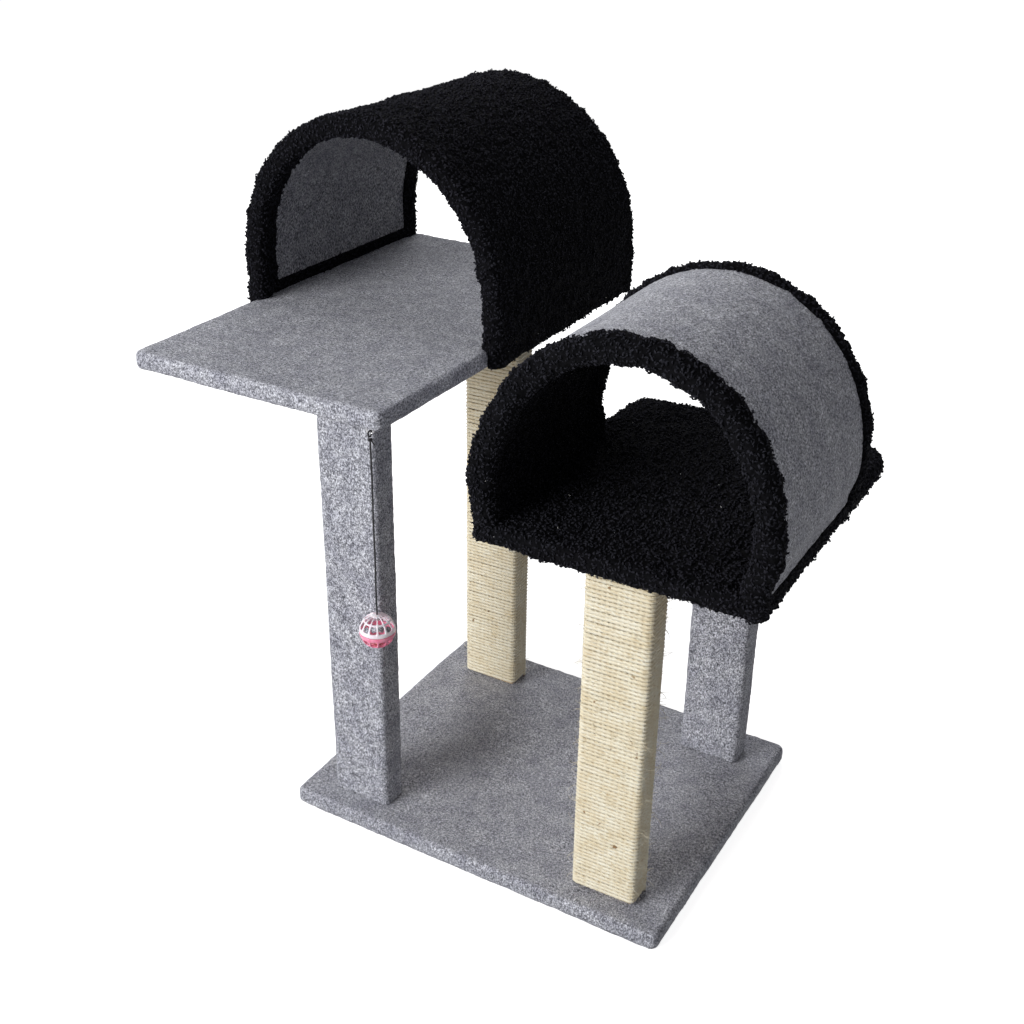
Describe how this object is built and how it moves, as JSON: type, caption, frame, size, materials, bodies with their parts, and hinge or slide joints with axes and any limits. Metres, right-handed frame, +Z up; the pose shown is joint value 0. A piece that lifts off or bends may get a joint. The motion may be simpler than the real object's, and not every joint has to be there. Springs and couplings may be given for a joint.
{
  "type": "cat tree",
  "caption": "Cat tree with carpet and sisal posts on a flat base, decks at different heights that each carry a half-round fleece tunnel, and a lattice ball hanging on a cord.",
  "frame": {"origin": "on the floor, under the centre of the whole tree's bounding box", "axes": "+X to the right along the base's front edge, towards the lower deck; +Y to the back, along the tunnels; +Z up from the floor"},
  "size_m": [0.7638, 0.5655, 0.7807],
  "materials": {
    "carpet_grey": "needle-punched felt carpet, heathered light grey with a few dark flecks",
    "lining_grey": "flat felt lining, heathered mid grey",
    "sherpa_black": "curly black sherpa fleece with a short deep pile",
    "sisal": "twisted natural sisal rope wound in close turns",
    "particle_board": "raw particle board",
    "plywood": "thin bent plywood, unfinished",
    "pine": "planed softwood, unfinished",
    "screw_steel": "zinc-plated steel with a pale yellow cast",
    "staple_steel": "bright drawn wire",
    "cord_black": "thin black braided cord",
    "ball_white": "semi-gloss moulded plastic, white with a faint pink cast",
    "ball_pink": "semi-gloss moulded plastic, pink",
    "bell_brass": "thin pressed brass"
  },
  "bodies": {
    "tree": {"base_board": "particle_board", "base_carpet": "carpet_grey", "front_left_post": "pine", "front_left_post_base_screw_left": "screw_steel", "front_left_post_base_screw_right": "screw_steel", "front_left_post_carpet": "carpet_grey", "front_left_post_top_screw_left": "screw_steel", "front_left_post_top_screw_right": "screw_steel", "front_right_post": "pine", "front_right_post_base_screw_left": "screw_steel", "front_right_post_base_screw_right": "screw_steel", "front_right_post_sisal": "sisal", "front_right_post_top_screw_left": "screw_steel", "front_right_post_top_screw_right": "screw_steel", "lower_arch_carpet": "carpet_grey", "lower_arch_screw_front_left": "screw_steel", "lower_arch_screw_front_right": "screw_steel", "lower_arch_screw_rear_left": "screw_steel", "lower_arch_screw_rear_right": "screw_steel", "lower_arch_shell": "plywood", "lower_arch_sherpa": "sherpa_black", "lower_board": "particle_board", "lower_board_sherpa": "sherpa_black", "rear_left_post": "pine", "rear_left_post_base_screw_left": "screw_steel", "rear_left_post_base_screw_right": "screw_steel", "rear_left_post_sisal": "sisal", "rear_left_post_top_screw_left": "screw_steel", "rear_left_post_top_screw_right": "screw_steel", "rear_right_post": "pine", "rear_right_post_base_screw_left": "screw_steel", "rear_right_post_base_screw_right": "screw_steel", "rear_right_post_carpet": "carpet_grey", "rear_right_post_top_screw_left": "screw_steel", "rear_right_post_top_screw_right": "screw_steel", "toy_staple": "staple_steel", "upper_arch_lining": "lining_grey", "upper_arch_screw_front_left": "screw_steel", "upper_arch_screw_front_right": "screw_steel", "upper_arch_screw_rear_left": "screw_steel", "upper_arch_screw_rear_right": "screw_steel", "upper_arch_shell": "plywood", "upper_arch_sherpa": "sherpa_black", "upper_board": "particle_board", "upper_board_carpet": "carpet_grey"},
    "cord_top": {"cord_loop": "cord_black", "cord_top_knot": "cord_black"},
    "toy": {"toy_cord": "cord_black", "cord_end_knot": "cord_black"},
    "ball": {"ball_upper_half": "ball_white", "ball_lower_half": "ball_pink"},
    "bell": {"bell": "bell_brass"}
  },
  "joints": [
    {"name": "toy_swing_forward", "type": "hinge", "parent": "tree", "child": "cord_top", "pos_m": [-0.05556, -0.26275, 0.5206], "axis": [1, 0, 0], "range_deg": [-60, 0]},
    {"name": "toy_swing_sideways", "type": "hinge", "parent": "cord_top", "child": "toy", "pos_m": [-0.05556, -0.26275, 0.5124], "axis": [0, 1, 0], "range_deg": [-45, 60]},
    {"name": "ball_spin", "type": "hinge", "parent": "toy", "child": "ball", "pos_m": [-0.05556, -0.26275, 0.286], "axis": [0, 0, 1], "continuous": true},
    {"name": "bell_bounce", "type": "slide", "parent": "ball", "child": "bell", "axis": [0, 0, 1], "range_m": [0, 0.018]}
  ]
}
